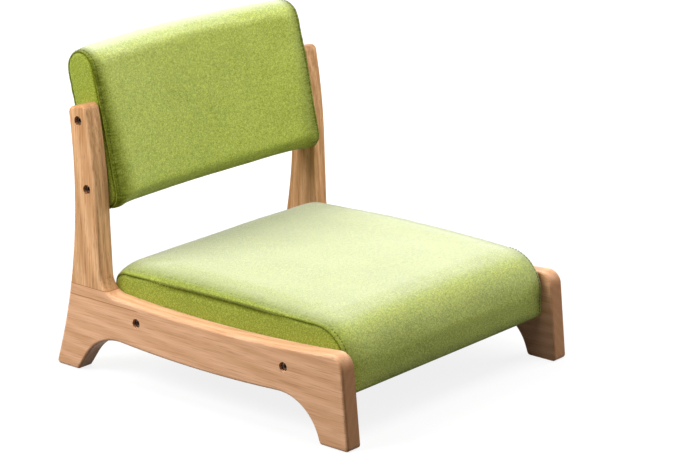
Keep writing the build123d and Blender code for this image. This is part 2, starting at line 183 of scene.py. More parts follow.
class Paint:
    """The nodes of one procedural material, or of the surround, while they are put together."""

    def __init__(
        self,
        owner: Union[bpy.types.Material, bpy.types.World],
        output: str = "ShaderNodeOutputMaterial",
    ) -> None:
        """Start with no nodes but the output.

        Args:
            owner: the material or world that the nodes are for.
            output: type of its output node.
        """
        self.owner = owner
        owner.use_nodes = True
        self.tree = owner.node_tree
        self.tree.nodes.clear()
        self.output = self.node(output)

    @classmethod
    def on_material(cls, name: str) -> "Paint":
        """Start a new material of this name."""
        return cls(bpy.data.materials.new(name))

    def node(
        self,
        kind: str,
        settings: Optional[dict[str, Any]] = None,
        inputs: Optional[dict[Any, Any]] = None,
    ) -> bpy.types.Node:
        """Add a node, set it up and feed its sockets.

        Args:
            kind: the node's type.
            settings: its properties, set first.
            inputs: values or links by socket name or number.

        Returns:
            The new node.
        """
        made = self.tree.nodes.new(kind)
        for key, setting in (settings or {}).items():
            setattr(made, key, setting)
        for key, fed in (inputs or {}).items():
            self.feed(made.inputs[key], fed)
        return made

    def feed(self, socket: Socket, fed: Any) -> None:
        """Link a value or output to a socket, or set a plain number or colour on it.

        Args:
            socket: the input to feed.
            fed: what it gets.
        """
        if isinstance(fed, Value):
            self.tree.links.new(fed.socket, socket)
        elif isinstance(fed, Socket):
            self.tree.links.new(fed, socket)
        else:
            socket.default_value = fed

    def place(self) -> Socket:
        """Object coordinates, in metres."""
        return self.node("ShaderNodeTexCoord").outputs["Object"]

    def facing(self) -> tuple[Value, Value, Value]:
        """Parts of the surface's own normal."""
        return self.split(self.node("ShaderNodeTexCoord").outputs["Normal"])

    def split(self, vector: Socket) -> tuple[Value, Value, Value]:
        """Part a vector into three values.

        Args:
            vector: the vector's socket.

        Returns:
            Its X, Y and Z.
        """
        made = self.node("ShaderNodeSeparateXYZ", inputs={0: vector})
        return Value(self, made.outputs[0]), Value(self, made.outputs[1]), Value(self, made.outputs[2])

    def cloud(self, scale: Union[float, Scale], detail: float = 2.0, roughness: float = 0.5) -> Value:
        """Noise, even or stretched by its own scale on each axis.

        Args:
            scale: cells in a metre, as one number or along X, Y and Z.
            detail: octaves of finer noise.
            roughness: how strong the finer noise is.

        Returns:
            The noise, about 0.5 in the middle.
        """
        cells = scale if isinstance(scale, tuple) else (scale, scale, scale)
        stretched = self.node("ShaderNodeMapping", inputs={"Vector": self.place(), "Scale": cells})
        inputs = {"Vector": stretched.outputs[0], "Scale": 1.0, "Detail": detail, "Roughness": roughness}
        return Value(self, self.node("ShaderNodeTexNoise", inputs=inputs).outputs["Fac"])

    def seen(self) -> Value:
        """Tell what the eye sees from the light on its way to other things.

        Returns:
            1 for rays from the camera, a reflection or glass, and 0 for the rest.
        """
        path = self.node("ShaderNodeLightPath")
        camera, glossy, through = [
            Value(self, path.outputs[f"Is {kind} Ray"]) for kind in ("Camera", "Glossy", "Transmission")
        ]
        return (camera + glossy + through).math("MINIMUM", 1.0)

    def mix(self, share: Value, first: Any, second: Any) -> Socket:
        """Blend two colours.

        Args:
            share: 0 for the first, 1 for the second.
            first: a colour or a link.
            second: a colour or a link.

        Returns:
            The blended colour's socket.
        """
        made = self.node("ShaderNodeMix", {"data_type": "RGBA"}, {0: share, 6: first, 7: second})
        return made.outputs[2]

    def bump(self, height: Value, depth: float, strength: float = 1.0) -> Socket:
        """Raise the shading by a height.

        Args:
            height: the height's share, 0 to 1.
            depth: the full height in metres.
            strength: how strongly it shows.

        Returns:
            The bent normal's socket.
        """
        inputs = {"Height": height, "Distance": depth, "Strength": strength}
        return self.node("ShaderNodeBump", inputs=inputs).outputs[0]

    def shader(self, inputs: dict[str, Any]) -> Socket:
        """Output of a principled shader with these inputs."""
        return self.node("ShaderNodeBsdfPrincipled", inputs=inputs).outputs[0]

    def blend(self, share: Value, first: Socket, second: Socket) -> Socket:
        """Output of two shaders blended, 0 for the first and 1 for the second."""
        return self.node("ShaderNodeMixShader", inputs={0: share, 1: first, 2: second}).outputs[0]

    def finish(self, surface: Socket) -> Any:
        """Use a shader as the surface.

        Args:
            surface: the shader's output.

        Returns:
            The finished material or world.
        """
        self.feed(self.output.inputs["Surface"], surface)
        return self.owner

    def surface(self, inputs: dict[str, Any]) -> bpy.types.Material:
        """Finish a material with one principled shader."""
        return self.finish(self.shader(inputs))


class Grain(Enum):
    """Which axis a piece of wood was cut along."""

    ACROSS = 0
    LEVEL = 1
    UPRIGHT = 2

    def stretch(self, along: float, across: float) -> Scale:
        """Noise scale for this grain.

        Args:
            along: cells in a metre along the grain.
            across: cells in a metre across it.

        Returns:
            Scale along X, Y and Z.
        """
        scale = [across, across, across]
        scale[self.value] = along
        return scale[0], scale[1], scale[2]


@dataclass(frozen=True)
class WoodFinish:
    """Wood with growth rings, fibres and pores along its grain."""

    name: str
    grain: Grain
    light: Colour = (0.97, 0.58, 0.345, 1.0)
    dark: Colour = (0.57, 0.27, 0.115, 1.0)
    pore: Colour = (0.40, 0.17, 0.062, 1.0)
    end: Colour = (0.40, 0.165, 0.050, 1.0)
    end_share: float = 0.75
    pith: tuple[float, float] = (0.035, -0.09)
    taper: float = 0.07
    ring: float = 11 * MM
    ring_wander: float = 2.4
    ring_edge: float = 1.6
    ring_part: float = 0.26
    fibre_cells: tuple[float, float] = (13.0, 480.0)
    fibre_part: float = 1.15
    broad_cells: tuple[float, float] = (1.6, 12.0)
    broad_part: float = 0.50
    mean: float = 0.93
    figure: float = 0.72
    pore_run: float = 24.0
    pore_count: float = 900.0
    pore_share: float = 0.4
    lacquer: float = 0.16
    relief: float = 0.12 * MM
    glue_lines: tuple[tuple[float, float], ...] = ()
    glue_width: float = 0.8 * MM
    glue_fade: float = 10 * MM
    glue_share: float = 0.8

    def rings(self, paint: Paint, axes: tuple[Value, Value, Value]) -> Value:
        """Growth rings round a pith that slants a little and wanders.

        Args:
            paint: the material's nodes.
            axes: the place along X, Y and Z.

        Returns:
            The rings' tone, 0 to 1.
        """
        along = axes[self.grain.value]
        first, second = [axis for place, axis in enumerate(axes) if place != self.grain.value]
        wander = paint.cloud(self.grain.stretch(2.6, 11.0), 3.0) - 0.5
        aside = first - self.pith[0] + along * self.taper
        above = second - self.pith[1]
        radius = (aside * aside + above * above).root()
        waves = ((radius / self.ring + wander * self.ring_wander) * TURN).sine() * 0.5 + 0.5
        return waves ** self.ring_edge

    def material(self) -> bpy.types.Material:
        """Build the material.

        Returns:
            The finished material.
        """
        paint = Paint.on_material(self.name)
        axes = paint.split(paint.place())
        rings = self.rings(paint, axes)
        fibres = paint.cloud(self.grain.stretch(*self.fibre_cells), 4.0, 0.62)
        broad = paint.cloud(self.grain.stretch(*self.broad_cells), 2.0)
        pores = paint.cloud(self.grain.stretch(self.pore_run, self.pore_count), 2.0).ease(0.54, 0.70)
        drawn = rings * self.ring_part + fibres * self.fibre_part + broad * self.broad_part - self.mean
        tone = 0.5 + self.figure * drawn
        colour = paint.mix(tone.ease(0.0, 1.0), self.dark, self.light)
        colour = paint.mix(pores * self.pore_share, colour, self.pore)
        ends = paint.facing()[self.grain.value]
        colour = paint.mix(ends * ends * self.end_share, colour, self.end)
        for height, start in self.glue_lines:
            mark = axes[2].line(height, self.glue_width) * axes[1].ease(start, start + self.glue_fade)
            colour = paint.mix(mark * self.glue_share, colour, self.end)
        return paint.surface({
            "Base Color": colour,
            "Roughness": 0.44 + fibres * 0.12 + pores * 0.15,
            "Coat Weight": self.lacquer - pores * (0.5 * self.lacquer),
            "Coat Roughness": 0.42,
            "Coat IOR": 1.38,
            "Specular IOR Level": 0.06,
            "Sheen Weight": 0.12,
            "Sheen Roughness": 0.5,
            "Normal": paint.bump(fibres * 0.6 - pores * 0.7, self.relief, 0.5),
        })


@dataclass(frozen=True)
class ClothFinish:
    """Heather cloth in a plain weave, with more sheen and a painted pale tint on its upper faces, and
    painted shade on its side faces, its underside and at and beside its seams.
    """

    name: str
    dark: Colour = (0.235, 0.295, 0.011, 1.0)
    light: Colour = (0.64, 0.73, 0.10, 1.0)
    # Painted shade: seam and the colour below it make the dark cloth blended in at and beside the seams and
    # underneath.
    seam: Colour = (0.045, 0.050, 0.002, 1.0)
    painted_shade_pale: Colour = (0.15, 0.175, 0.005, 1.0)
    # Painted highlight: a pale colour blended into the base colour of faces that look up.
    painted_top_pale: Colour = (0.42, 0.42, 0.40, 1.0)
    painted_top_pale_share: float = 0.28
    nap_sheen: float = 1.0
    nap_tint: Colour = (1.0, 1.0, 0.96, 1.0)
    taut_sheen: float = 0.35
    thread: float = 1.15 * MM
    relief: float = 0.35 * MM
    fleck_count: float = 620.0
    slub_count: float = 240.0
    cast_count: float = 14.0
    gather_cells: Scale = (70.0, 420.0, 420.0)
    mean: float = 0.84
    painted_gusset_shade: float = 0.27
    painted_underside_shade: float = 0.4

    def material(self) -> bpy.types.Material:
        """Build the material.

        Returns:
            The finished material.
        """
        paint = Paint.on_material(self.name)
        x, y, z = [(axis * (TURN / self.thread)).sine() for axis in paint.split(paint.place())]
        across, deep, up = paint.facing()
        weave = (x * y * (up * up) + x * z * (deep * deep) + y * z * (across * across)) * 0.5 + 0.5
        flecks = paint.cloud(self.fleck_count, 2.0, 0.6)
        slubs = paint.cloud(self.slub_count, 3.0, 0.6)
        cast = paint.cloud(self.cast_count, 2.0)
        heather = flecks * 1.7 + slubs * 0.6 + weave * 0.16 + cast * 0.25
        # Painted shade: faces that look sideways, the gussets, are painted darker.
        tone = heather - self.mean - across * across * self.painted_gusset_shade
        colour = paint.mix(tone.ease(0.0, 1.0), self.dark, self.light)
        normal = paint.bump(weave * 0.7 + flecks * 0.5, self.relief, 0.55)
        woven = {
            "Base Color": colour,
            "Roughness": 0.80 + flecks * 0.18,
            "Specular IOR Level": 0.03,
            "Sheen Weight": self.taut_sheen,
            "Sheen Roughness": 0.54,
            "Normal": normal,
        }
        taut = paint.shader(woven)
        # Upper faces get full sheen and a base colour painted paler: a painted highlight for the light from
        # above.
        sheen_and_painted_pale = paint.shader({
            **woven,
            "Base Color": paint.mix(up.ease(0.72, 1.0) * self.painted_top_pale_share, colour, self.painted_top_pale),
            "Sheen Weight": self.nap_sheen,
            "Sheen Tint": self.nap_tint,
        })
        # Painted shade: a dark copy without sheen for the seams, the band beside them and the faces that
        # look down.
        painted_shade_cloth = paint.shader({
            "Base Color": paint.mix(flecks, self.seam, self.painted_shade_pale),
            "Roughness": 0.85 + flecks * 0.14,
            "Specular IOR Level": 0.0,
            "Normal": normal,
        })
        # sewn holds the painted shade stored on the cushion at and beside the seams.
        sewn = Value(paint, paint.node("ShaderNodeAttribute", {"attribute_name": "sewn"}).outputs["Fac"])
        # Painted shade of puckers breaks up the painted shade beside the seams.
        painted_pucker_shade = paint.cloud(self.gather_cells, 1.0).ease(0.36, 0.64)
        # Painted shade: faces that look down are painted darker.
        under = (0.0 - up).ease(-0.2, 0.8) * self.painted_underside_shade
        share = (sewn * (0.82 + painted_pucker_shade * 0.34)).math("MAXIMUM", under)
        # Faces that look up take the copy with full sheen and the painted pale colour.
        plain = paint.blend(up.ease(0.02, 0.55), taut, sheen_and_painted_pale)
        return paint.finish(paint.blend(share, plain, painted_shade_cloth))


@dataclass(frozen=True)
class ThreadFinish:
    """Twisted sewing thread."""

    name: str
    dark: Colour = (0.055, 0.068, 0.004, 1.0)
    light: Colour = (0.16, 0.20, 0.024, 1.0)
    lay: float = 0.45 * MM

    def material(self) -> bpy.types.Material:
        """Build the material.

        Returns:
            The finished material.
        """
        paint = Paint.on_material(self.name)
        x, y, z = paint.split(paint.place())
        twist = ((x + y + z) * (TURN / self.lay)).sine() * 0.5 + 0.5
        return paint.surface({
            "Base Color": paint.mix(twist, self.dark, self.light),
            "Roughness": 0.7 + twist * 0.15,
            "Specular IOR Level": 0.1,
        })


@dataclass(frozen=True)
class FeltFinish:
    """Thin pressed cloth that closes the seat from below."""

    name: str
    dark: Colour = (0.012, 0.012, 0.013, 1.0)
    light: Colour = (0.045, 0.045, 0.047, 1.0)
    fibre_count: float = 900.0
    dot_count: float = 330.0
    relief: float = 0.2 * MM

    def material(self) -> bpy.types.Material:
        """Build the material.

        Returns:
            The finished material.
        """
        paint = Paint.on_material(self.name)
        fibre = paint.cloud(self.fibre_count, 3.0, 0.65)
        dots = paint.cloud(self.dot_count, 1.0).ease(0.45, 0.6)
        return paint.surface({
            "Base Color": paint.mix(fibre * 0.7 + dots * 0.3, self.dark, self.light),
            "Roughness": 0.85 + fibre * 0.1,
            "Normal": paint.bump(fibre * 0.6 + dots * 0.4, self.relief, 0.6),
        })


@dataclass(frozen=True)
class MetalFinish:
    """Metal with faint turning marks and rubbed patches."""

    name: str
    dark: Colour
    light: Colour
    metallic: float
    roughness: float
    rub_count: float = 260.0
    mark_cells: Scale = (60.0, 2600.0, 2600.0)
    relief: float = 0.02 * MM

    def material(self) -> bpy.types.Material:
        """Build the material.

        Returns:
            The finished material.
        """
        paint = Paint.on_material(self.name)
        rubbed = paint.cloud(self.rub_count, 3.0, 0.6)
        marks = paint.cloud(self.mark_cells, 1.0)
        worn = (rubbed * 0.8 + marks * 0.4 - 0.2).ease(0.2, 0.8)
        return paint.surface({
            "Base Color": paint.mix(worn, self.dark, self.light),
            "Metallic": self.metallic,
            "Roughness": self.roughness + rubbed * 0.14,
            "Normal": paint.bump(marks, self.relief, 0.4),
        })


TIMBER: dict[str, Any] = {"light": (0.78, 0.62, 0.42, 1.0), "dark": (0.62, 0.44, 0.26, 1.0), "lacquer": 0.0}
BEECH: dict[str, Any] = {"light": (0.70, 0.47, 0.29, 1.0), "dark": (0.55, 0.34, 0.19, 1.0), "lacquer": 0.0}
VENEER: dict[str, Any] = {"light": (0.74, 0.56, 0.37, 1.0), "dark": (0.60, 0.42, 0.25, 1.0), "lacquer": 0.0}


class Finishes(Enum):
    """The finishes of the chair, each built once."""

    PANEL = WoodFinish(
        "panel_wood", Grain.LEVEL, glue_lines=((118 * MM, 130 * MM), (103.5 * MM, 88 * MM)))
    POST = WoodFinish(
        "post_wood", Grain.UPRIGHT, (0.90, 0.54, 0.28, 1.0), (0.50, 0.235, 0.085, 1.0), pith=(0.06, 0.06),
        taper=0.05, figure=1.2, pore_run=52.0, pore_share=0.6, glue_lines=((118 * MM, 100 * MM),))
    DOWEL = WoodFinish("dowel_beech", Grain.UPRIGHT, **BEECH)
    LONG_TIMBER = WoodFinish("frame_timber_long", Grain.LEVEL, **TIMBER)
    CROSS_TIMBER = WoodFinish("frame_timber_cross", Grain.ACROSS, **TIMBER)
    BATTEN = WoodFinish("frame_timber_batten", Grain.UPRIGHT, **TIMBER)
    PLYWOOD = WoodFinish("plywood", Grain.ACROSS, **VENEER)
    CLOTH = ClothFinish("green_cloth")
    THREAD = ThreadFinish("green_thread")
    FELT = FeltFinish("dust_cloth")
    STEEL = MetalFinish("bolt_steel", (0.10, 0.065, 0.045, 1.0), (0.34, 0.27, 0.21, 1.0), 0.9, 0.3)
    BRASS = MetalFinish("insert_brass", (0.50, 0.34, 0.12, 1.0), (0.74, 0.56, 0.25, 1.0), 1.0, 0.28)

    @cache
    def material(self) -> bpy.types.Material:
        """The finish's material, built on its first use."""
        return self.value.material()


def dress(node: str, finish: Finishes) -> None:
    """Give a CAD node its finish.

    Args:
        node: the node's name.
        finish: what it is made of.
    """
    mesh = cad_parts[node].data
    mesh.materials.clear()
    mesh.materials.append(finish.material())
    LOG.info("%s: %s", node, finish.name.lower())


def number(items: Any, wanted: list[Any]) -> None:
    """Put a mesh's corners, edges or faces in a wanted order.

    Args:
        items: all of the mesh's corners, edges or faces.
        wanted: the same, in their new order.
    """
    for place, item in enumerate(wanted):
        item.index = place
    items.sort()
    items.index_update()


def in_order(shape: bmesh.types.BMesh) -> None:
    """Order a mesh by place and shade it smooth, so that every run swells and stitches it alike.

    Args:
        shape: the mesh, whose faces then start at their first corner.
    """
    number(shape.verts, sorted(shape.verts, key=lambda vert: [round(part, 7) for part in vert.co]))
    rings = []
    for face in shape.faces[:]:
        ring = list(face.verts)
        start = ring.index(min(ring, key=lambda vert: vert.index))
        rings.append(ring[start:] + ring[:start])
        shape.faces.remove(face)
    rings.sort(key=lambda ring: [vert.index for vert in ring])
    faces = [shape.faces.new(ring) for ring in rings]
    for face in faces:
        face.smooth = True
    number(shape.faces, faces)
    number(shape.edges, sorted(shape.edges, key=lambda edge: sorted(vert.index for vert in edge.verts)))


def add_piece(name: str, shape: bmesh.types.BMesh, finish: Finishes) -> bpy.types.Object:
    """Make an object of a finished shape.

    Args:
        name: the piece's name.
        shape: its mesh, which is freed.
        finish: what it is made of.

    Returns:
        The object, at the origin.
    """
    in_order(shape)
    mesh = bpy.data.meshes.new(name)
    shape.to_mesh(mesh)
    shape.free()
    mesh.materials.append(finish.material())
    piece = bpy.data.objects.new(name, mesh)
    bpy.context.scene.collection.objects.link(piece)
    return piece


def settle_on(piece: bpy.types.Object, slot: str, *nodes: str) -> None:
    """Let a piece ride on the chair and hide the nodes it stands for.

    Args:
        piece: the finished piece.
        slot: not used.
        nodes: CAD nodes that it replaces.
    """
    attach(piece, BODY)
    if nodes:
        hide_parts(*nodes)
    LOG.info("%s: %d faces", piece.name, len(piece.data.polygons))


def held_share(share: float) -> float:
    """A share held between 0 and 1."""
    return min(max(share, 0.0), 1.0)


def eased(share: float) -> float:
    """Smooth step of a share held between 0 and 1."""
    held = held_share(share)
    return held * held * (3 - 2 * held)


@dataclass
class Cushion:
    """A sewn cushion between the sides: a block that is shaped, swollen as cloth, sewn and stitched."""

    name: str
    low: Vector
    high: Vector
    slack: float = 0.6 * MM
    plump: float = 1.8 * MM
    roll: float = 40 * MM
    cell: float = 6 * MM
    cap_rings: tuple[float, ...] = (1.2 * MM, 2.5 * MM, 4 * MM)
    edge_cuts: tuple[float, ...] = (1.5, 3.5)
    grip: float = 1 * MM
    pressure: float = 4.0
    weight: float = 0.3
    quality: int = 6
    frames: int = 20
    # Painted shade in a band beside the seams: its strength and its width.
    shade: float = 0.34
    painted_shade_width: float = 34 * MM
    seam_cuts: tuple[float, ...] = (0.5, 1.1, 1.9, 3.0, 4.4, 5.6, 6.5, 7.4, 8.8)
    seam_depth: float = 2.2 * MM
    seam_width: float = 1.3 * MM
    seam_reach: float = 12 * MM
    # Painted shade stored in the seam groove and in the stitched row.
    seam_painted_shade: float = 1.1
    row_depth: float = 0.15 * MM
    row_width: float = 1.1 * MM
    row_painted_shade: float = 0.1
    dip: float = 0.9 * MM
    dip_count: float = 16.0
    pucker: float = 0.22 * MM
    pucker_count: float = 55.0
    gather: float = 0.7 * MM
    gather_cells: Scale = (20.0, 130.0, 130.0)
    stitch_row: float = 6.0 * MM
    stitch_length: float = 3.0 * MM
    stitch_pitch: float = 4.6 * MM
    stitch_radius: float = 0.6 * MM
    stitch_width: float = 1.15
    stitch_lift: float = 0.25
    seam_line: list[Vector] = field(default_factory=list)

    def rounds(self) -> Iterator[Round]:
        """Long edges to round, each as its Y, its Z, a radius and a count of segments."""
        raise NotImplementedError

    def flats(self) -> Iterator[Flat]:
        """Flat stretches to cut up, each as an axis, its start and end, and the ways its faces look."""
        raise NotImplementedError

    def shaped(self, point: Vector) -> Vector:
        """Where a point of the plain block goes on the slack cushion."""
        raise NotImplementedError

    def held(self, point: Vector) -> bool:
        """Whether a point of the slack cushion stays where it is while the cloth swells."""
        raise NotImplementedError

    def stitched(self, point: Vector) -> bool:
        """Whether the stitched row runs at a point of the seam."""
        raise NotImplementedError

    def resting(self, point: Vector) -> bool:
        """Whether a point lies on what carries the cushion, where it stays flat."""
        return False

    def spread(self, point: Vector) -> float:
        """How much wider than usual the band beside the seam, with its gathers and painted shade, is at a
        point.
        """
        return 1.0

    @property
    def half(self) -> float:
        """Half the cushion's width."""
        return (self.high.x - self.low.x) / 2

    def draw(self, x: float) -> float:
        """Share of the draw-in at one X, 1 at the seams and 0 inside."""
        near = held_share(1 - (self.half - abs(x)) / self.roll)
        return 1 - math.sqrt(1 - near * near)

    def block(self) -> bmesh.types.BMesh:
        """Plain block with its long edges rounded and its faces cut into cells.

        Returns:
            The block's mesh, before it is shaped.
        """
        shape = bmesh.new()
        place = Matrix.Translation((self.low + self.high) / 2)
        size = Matrix.Diagonal((*(self.high - self.low), 1.0))
        bmesh.ops.create_cube(shape, size=1.0, matrix=place @ size)
        for y, z, radius, segments in self.rounds():
            edges = [
                edge for edge in shape.edges
                if all(abs(v.co.y - y) < TINY and abs(v.co.z - z) < TINY for v in edge.verts)
            ]
            bmesh.ops.bevel(
                shape, geom=edges, offset=radius, offset_type="OFFSET", segments=segments, profile=0.5,
                affect="EDGES", material=-1, clamp_overlap=True)
        caps = [face for face in shape.faces if abs(face.normal.x) > 0.9]
        cap = min(caps, key=lambda face: face.calc_center_median().x)
        self.seam_line = [vert.co.copy() for vert in cap.verts]
        for border in self.cap_rings:
            bmesh.ops.inset_individual(shape, faces=caps, thickness=border, use_even_offset=True)
        self.cut_beside_seams(shape, self.edge_cuts)
        for axis, start, end, ways in self.flats():
            count = round((end - start) / self.cell)
            for step in range(count + 1):
                self.slice(shape, axis, start + (end - start) * step / count, ways)
        return shape

    def cut_beside_seams(self, shape: bmesh.types.BMesh, places: tuple[float, ...]) -> None:
        """Cut a mesh along both seams.

        Args:
            shape: the mesh.
            places: distances from the ends, in millimetres.
        """
        for aside in places:
            for way in BOTH_WAYS:
                self.slice(shape, 0, way * (self.half - aside * MM))

    @staticmethod
    def slice(shape: bmesh.types.BMesh, axis: int, place: float, ways: tuple[int, ...] = BOTH_WAYS) -> None:
        """Cut a mesh at one plane across an axis.

        Args:
            shape: the mesh.
            axis: 0, 1 or 2.
            place: the plane's coordinate.
            ways: -1 to cut faces that look to the front, 1 for those that look to the rear.
        """
        facing = Vector((0.0, 0.0, 0.0))
        facing[axis] = 1.0
        faces = [
            face for face in shape.faces
            if len(ways) == 2 or abs(face.normal.y) < 0.01 or math.copysign(1, face.normal.y) in ways
        ]
        edges = dict.fromkeys(edge for face in faces for edge in face.edges)
        verts = dict.fromkeys(vert for face in faces for vert in face.verts)
        bmesh.ops.bisect_plane(
            shape, geom=[*verts, *edges, *faces], dist=TINY, plane_co=facing * place, plane_no=facing)

    def swell(self, piece: bpy.types.Object) -> None:
        """Blow the slack cover up against its held edges, as cloth, and keep the result.

        Args:
            piece: the slack cushion.
        """
        rest = [vert.co.copy() for vert in piece.data.vertices]
        group = piece.vertex_groups.new(name="held")
        group.add([place for place, point in enumerate(rest) if self.held(point)], 1.0, "REPLACE")
        cloth = piece.modifiers.new("swell", "CLOTH")
        cloth.settings.quality = self.quality
        cloth.settings.mass = self.weight
        cloth.settings.vertex_group_mass = group.name
        cloth.settings.use_pressure = True
        cloth.settings.uniform_pressure_force = self.pressure
        cloth.settings.effector_weights.gravity = 0.0
        cloth.collision_settings.use_collision = False
        scene = bpy.context.scene
        for step in range(1, self.frames + 1):
            scene.frame_set(step)
        swollen = piece.evaluated_get(bpy.context.evaluated_depsgraph_get()).data
        moved = [vert.co - rest[place] for place, vert in enumerate(swollen.vertices)]
        piece.modifiers.remove(cloth)
        piece.vertex_groups.remove(group)
        scene.frame_set(1)
        facing = [vert.normal.copy() for vert in piece.data.vertices]
        for vert, step, out in zip(piece.data.vertices, moved, facing):
            vert.co += out * (self.plump * math.tanh(max(step.dot(out), 0.0) / self.plump))

    def sew(self, piece: bpy.types.Object) -> None:
        """Sink the seams and the stitched rows, dip and gather the cloth, and store painted shade at the
        seams, the rows and the band beside them.

        Args:
            piece: the swollen cushion.
        """
        shape = bmesh.new()
        shape.from_mesh(piece.data)
        self.cut_beside_seams(shape, self.seam_cuts)
        shape.normal_update()
        # sewn: painted shade stored on each corner for the cloth material.
        sewn = shape.verts.layers.float.new("sewn")
        moved = []
        for vert in shape.verts:
            inward = self.half - abs(vert.co.x)
            panel = 1 - eased(abs(vert.normal.x) * 3 - 1.6)
            seam = math.exp(-((self.from_seam(vert.co) / self.seam_width) ** 2))
            row = math.exp(-(((inward - self.stitch_row) / self.row_width) ** 2)) * panel
            # nearby: the band beside the seam, which carries the gathers and the painted shade.
            nearby = eased(1 - inward / (self.painted_shade_width * self.spread(vert.co))) * panel
            sink = self.seam_depth * seam + self.row_depth * row
            raised = 0.0 if self.resting(vert.co) else self.lift(vert.co, panel, nearby)
            moved.append((vert, vert.normal * (raised - sink)))
            # Store painted shade for the seam groove, the stitched row and the band beside the seam.
            vert[sewn] = min(1.0, self.seam_painted_shade * seam + self.row_painted_shade * row + self.shade * nearby)
        for vert, step in moved:
            vert.co += step
        in_order(shape)
        shape.to_mesh(piece.data)
        shape.free()

    def lift(self, point: Vector, panel: float, nearby: float) -> float:
        """How far uneven cloth stands up at a point.

        Args:
            point: a point on the cushion.
            panel: 1 on the panels, 0 on the gussets.
            nearby: 1 at a seam, 0 away from it.

        Returns:
            The height in metres, below 0 in a dip.
        """
        broad = noise.noise(point * self.dip_count) * self.dip
        fine = noise.noise(point * self.pucker_count + PUCKER_START) * self.pucker
        along = Vector([place * count for place, count in zip(point, self.gather_cells)])
        return (broad + fine) * panel + noise.noise(along) * self.gather * nearby

    def runs(self) -> Iterator[tuple[Vector, Vector]]:
        """Straight stretches of the left seam, each as its start and its run."""
        for start, end in zip(self.seam_line, self.seam_line[1:] + self.seam_line[:1]):
            yield start, end - start

    def from_seam(self, point: Vector) -> float:
        """Distance from a point to the nearer seam.

        Args:
            point: a point on the cushion.

        Returns:
            The distance in metres, or 1 where the seam is out of reach.
        """
        near = Vector((-abs(point.x), point.y, point.z))
        best = 1.0
        if near.x + self.half > self.seam_reach:
            return best
        for start, run in self.runs():
            share = held_share((near - start).dot(run) / max(run.length_squared, TINY * TINY))
            best = min(best, (near - start - run * share).length)
        return best

    def stitch(self, piece: bpy.types.Object) -> bpy.types.Object:
        """Lay the stitches of the sewn rows on the finished cushion.

        Args:
            piece: the cushion.

        Returns:
            All stitches as one object.
        """
        bpy.context.view_layer.update()
        tree = BVHTree.FromObject(piece, bpy.context.evaluated_depsgraph_get())
        radius = self.stitch_radius
        size = Matrix.Diagonal((radius * self.stitch_width, radius, self.stitch_length / 2, 1.0))
        shape = bmesh.new()
        for way in BOTH_WAYS:
            for place, along in self.paces(self.stitch_pitch):
                if not self.stitched(place):
                    continue
                aim = Vector((way * (self.half - self.stitch_row), place.y, place.z))
                spot, normal, _, _ = tree.find_nearest(aim)
                side = normal.cross(along).normalized()
                turn = Matrix((side, normal, along)).transposed().to_4x4()
                seat = Matrix.Translation(spot + normal * (self.stitch_lift * radius))
                bmesh.ops.create_uvsphere(
                    shape, u_segments=6, v_segments=5, radius=1.0, matrix=seat @ turn @ size)
        bmesh.ops.recalc_face_normals(shape, faces=shape.faces[:])
        return add_piece(f"{self.name}_topstitch", shape, Finishes.THREAD)

    def paces(self, pitch: float) -> Iterator[tuple[Vector, Vector]]:
        """Walk along the seam in even paces.

        Args:
            pitch: length of a pace.

        Yields:
            A point on the left seam and the direction of the walk there.
        """
        spare = pitch / 2
        for start, run in self.runs():
            while spare < run.length:
                yield start + run.normalized() * spare, run.normalized()
                spare += pitch
            spare -= run.length

    def build(self, *nodes: str) -> bpy.types.Object:
        """Make the cushion and its stitches.

        Args:
            nodes: the CAD nodes that it stands for.

        Returns:
            The cushion.
        """
        shape = self.block()
        for vert in shape.verts:
            vert.co = self.shaped(vert.co)
        self.seam_line = [self.shaped(point) for point in self.seam_line]
        bmesh.ops.recalc_face_normals(shape, faces=shape.faces[:])
        piece = add_piece(self.name, shape, Finishes.CLOTH)
        self.swell(piece)
        self.sew(piece)
        finer = piece.modifiers.new("finer", "SUBSURF")
        finer.levels = finer.render_levels = 1
        settle_on(piece, "green_cloth", *nodes)
        settle_on(self.stitch(piece), "green_cloth")
        return piece


